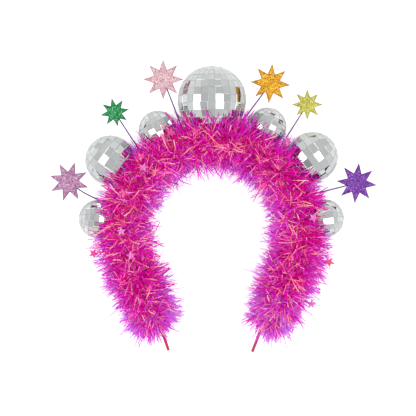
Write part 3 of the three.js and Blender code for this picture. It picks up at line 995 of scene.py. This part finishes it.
def makeStarFinish(name, colours):
    material, tree, shader = newMaterial("glitter_" + name, star["shader"])
    dark, base, bright = (paint(*colour) for colour in colours)
    inputs = {"Dark": dark, "Base": base, "Bright": bright, "Scale": star["grain"]}
    dust = addNode(tree, "Group", inputs, node_tree=glitter).outputs
    # Painted shade: the rim and the thin tips darken towards the dark flake colour
    rim = addNode(tree, "Attribute", attribute_name="rim").outputs["Fac"]
    shade = addMath(tree, "MULTIPLY", rim, star["rimShade"])
    colour = addMix(tree, shade, dust["Color"], dark)
    feed(tree, shader, {"Base Color": colour, "Roughness": dust["Roughness"]})
    addBump(tree, shader, dust["Height"], *star["relief"])
    return material


def makePlate(name, middle, low, high, radius, start, material):
    bm = bmesh.new()
    circle = bmesh.ops.create_circle(bm, cap_ends=True, radius=radius, segments=2 * star["points"])
    pullPoints(circle["verts"], star, radius, start)
    grown = bmesh.ops.extrude_face_region(bm, geom=bm.faces[:])["geom"]
    bmesh.ops.translate(bm, vec=(0, 0, high.z - low.z), verts=newCorners(grown))
    bmesh.ops.recalc_face_normals(bm, faces=bm.faces)
    rims = [edge for edge in bm.edges
            if abs(edge.verts[0].co.z - edge.verts[1].co.z) < star["level"]]
    bmesh.ops.bevel(bm, geom=rims, offset=star["bevel"], affect="EDGES", segments=2,
                    profile=0.5, material=-1)
    # Weight of the painted shade: 1 on the cut edge and the tips, 0 inside the inset of the broad faces
    rimLayer = bm.verts.layers.float.new("rim")
    for vertex in bm.verts:
        vertex[rimLayer] = 1.0
    broad = sorted(bm.faces, key=lambda face: face.calc_area())[-2:]
    for face in broad:
        bmesh.ops.inset_region(bm, faces=[face], thickness=star["rim"], use_even_offset=True)
        for vertex in face.verts:
            vertex[rimLayer] = 0.0
    bmesh.ops.translate(bm, vec=(middle.x, middle.y, low.z), verts=bm.verts)
    bmesh.ops.triangulate(bm, faces=bm.faces)
    plate = meshOf("star_" + name + "_plate", bm)
    placePiece(plate, material, "star_" + name, star["smooth"])


# Flakes stand a little off the upper face, each at its own slant
def makeFlakes(name, middle, top, radius, start, material, seed):
    random = np.random.default_rng(seed)
    tries = star["flakes"] * star["flakeTries"]
    spot = random.uniform(-1, 1, (tries, 2)) * radius * star["flakeField"]

    # Fold the star to half a point, whose edge runs from the tip to the valley
    half = pi / star["points"]
    angle = (np.arctan2(spot[:, 1], spot[:, 0]) - start) % (2 * half)
    fold = half - np.abs(angle - half)
    gone = np.hypot(spot[:, 0], spot[:, 1])
    folded = np.stack([gone * np.cos(fold), gone * np.sin(fold)], axis=1) / radius
    edge = star["valley"] * np.array([cos(half), sin(half)]) - np.array([1.0, 0.0])
    side = edge[0] * folded[:, 1] - edge[1] * (folded[:, 0] - 1)
    fromEdge = side / np.hypot(*edge) * radius
    onStar = side > star["flakeMargin"]
    spot = spot[onStar][: star["flakes"]]
    fromEdge = fromEdge[onStar][: star["flakes"]]

    count = len(spot)
    sides = star["flakeCorners"]
    turns = random.uniform(0, 2 * pi, (count, 1)) + np.arange(sides) * pi / (sides / 2)
    size = star["flakeSize"] * random.uniform(*star["flakeSizes"], (count, 1))
    slant = random.normal(0, star["flakeSlant"], (count, 2))
    flat = np.stack([np.cos(turns) * size, np.sin(turns) * size], axis=2)
    rise = (flat * slant[:, None]).sum(axis=2)
    rise += -rise.min(axis=1, keepdims=True) * star["flakeLift"] + top - star["flakeSink"]
    placed = flat + spot[:, None] + np.array([middle.x, middle.y])
    corners = np.concatenate([placed, rise[:, :, None]], axis=2)
    faces = np.arange(count * sides).reshape(count, sides)
    flakes = meshFrom("star_" + name + "_flakes", corners.reshape(-1, 3), faces.tolist())
    # Flakes near the edge take the painted shade too, fading over the rim's width
    addLayer(flakes, "rim", np.clip(1 - fromEdge / star["rim"], 0, 1).repeat(sides))
    placePiece(flakes, material, "star_" + name)


def makeStar(name, turn, colours, seed):
    low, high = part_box("star_" + name)
    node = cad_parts["star_" + name]
    middle = (low + high) / 2
    flatPoints = [Vector((vertex.co.x, vertex.co.y, 0)) for vertex in node.data.vertices]
    radius = max((point - Vector((middle.x, middle.y, 0))).length for point in flatPoints)
    start = radians(90 + turn)
    material = makeStarFinish(name, colours)
    makePlate(name, middle, low, high, radius, start, material)
    makeFlakes(name, middle, high.z, radius, start, material, seed)


for number, (name, (turn, *colours)) in enumerate(star["kinds"].items()):
    makeStar(name, turn, colours, star["seed"] + number)
print("glitter stars made")

# Wires: violet enamelled wire, bent up from the band to each star
wire = {
    "radius": 0.0005, "sides": 10, "steps": 28, "smooth": 50,
    "rootRise": 0.004, "bend": 0.6, "bendRise": 0.002, "tipRise": 0.008,
    "colours": ((64, 18, 92), (112, 50, 150)),
    "grain": 900.0, "roughness": (0.25, 0.45), "shader": {"Metallic": 0.3},
    # root's angle, star's angle and distance, all from the middle of the crown, and sag
    "routes": {
        "mauve": (162, 160.6, 0.1178, 0.005),
        "green": (134.2, 129.2, 0.1197, 0.0),
        "pink": (104.9, 107.9, 0.1243, 0.0),
        "orange": (82.8, 68.7, 0.1235, 0.0),
        "lime": (49.9, 53.4, 0.123, 0.0),
        "violet": (22.3, 18.8, 0.1179, 0.0),
    },
}


def makeWire(name, rootAngle, tipAngle, tipDistance, sag, material):
    rootDistance = arch["radius"] + arch["garlandOffset"]
    root = crown + pointAt(rootDistance, radians(rootAngle), wire["rootRise"])
    tip = crown + pointAt(tipDistance, radians(tipAngle), wire["tipRise"])
    bend = root.lerp(tip, wire["bend"])
    bend += Vector((0, -2 * sag, wire["bendRise"]))  # the curve goes half way to the bend
    frames = []
    for step in range(wire["steps"] + 1):
        share = step / wire["steps"]
        place = root.lerp(bend, share).lerp(bend.lerp(tip, share), share)
        way = bend.lerp(tip, share) - root.lerp(bend, share)
        frames.append(frameAlong(place, way))
    bm = bmesh.new()
    sweep(bm, frames, roundRing(wire["radius"], wire["sides"]))
    mesh = meshOf("wire_" + name + "_enamel", bm)
    placePiece(mesh, material, "wire_" + name, wire["smooth"])


enamel = mottledFinish("wireEnamel", wire)
for name, route in wire["routes"].items():
    makeWire(name, *route, enamel)
print("wires made")


def makeFoilFinish():
    material, tree, shader = newMaterial("foilPink", foil["shader"])
    tone = addNode(tree, "Attribute", attribute_name="tone").outputs["Fac"]
    mask = addMottle(tree, shader, foil)
    shift = addRange(tree, mask, (0.0, 1.0), foil["colourShift"])
    stops = list(zip((0.0, 0.5, 1.0), foil["colours"]))
    feed(tree, shader, {"Base Color": addRamp(tree, stops, addMath(tree, "ADD", tone, shift))})
    return material


def makeFoilStar(number, share, lean, reach, turn, tone, material):
    length = share * bandLength
    middle = garlandPoint(length, lean, reach / 1000)
    stemRoot = garlandPoint(length, lean, foil["stemRoot"])
    bm = bmesh.new()
    bmesh.ops.create_circle(bm, cap_ends=True, cap_tris=True, radius=foil["radius"],
                            segments=2 * foil["points"])
    rim = [vertex for vertex in bm.verts if vertex.co.length > foil["radius"] / 2]
    for vertex in set(bm.verts) - set(rim):
        vertex.co.z = foil["pressed"]
    pullPoints(rim, foil, foil["radius"], radians(90 + turn), pi / 2)
    bmesh.ops.recalc_face_normals(bm, faces=bm.faces)
    bmesh.ops.solidify(bm, geom=bm.faces[:], thickness=foil["thickness"])
    bmesh.ops.translate(bm, vec=middle, verts=bm.verts)

    frames = []
    for step in range(foil["stemSteps"] + 1):
        place = stemRoot.lerp(middle, step / foil["stemSteps"])
        frames.append(frameAlong(place, middle - stemRoot))
    half = foil["stemWidth"] / 2
    thin = foil["thickness"] / 2
    sweep(bm, frames, [Vector((half, -thin, 0)), Vector((half, thin, 0)),
                       Vector((-half, thin, 0)), Vector((-half, -thin, 0))])
    for face in bm.faces:
        face.smooth = False
    node = "foil_%02d" % number
    mesh = meshOf(node + "_pressed", bm)
    addLayer(mesh, "tone", [tone] * len(mesh.vertices))
    placePiece(mesh, material, node)


foilFinish = makeFoilFinish()
for number, place in enumerate(foil["places"], 1):
    makeFoilStar(number, *place, foilFinish)
print("foil stars made")

# The pegs under the balls stay as the frame has them, in moulded plastic
peg = {
    "colours": ((226, 226, 222), (242, 242, 240)),
    "grain": 600.0, "roughness": (0.38, 0.55), "relief": (0.15, 0.0001),
}
pegFinish = mottledFinish("pegPlastic", peg)
for name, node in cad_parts.items():
    if name.startswith("post_"):
        node.data.materials.clear()
        node.data.materials.append(pegFinish)
print("pegs finished")
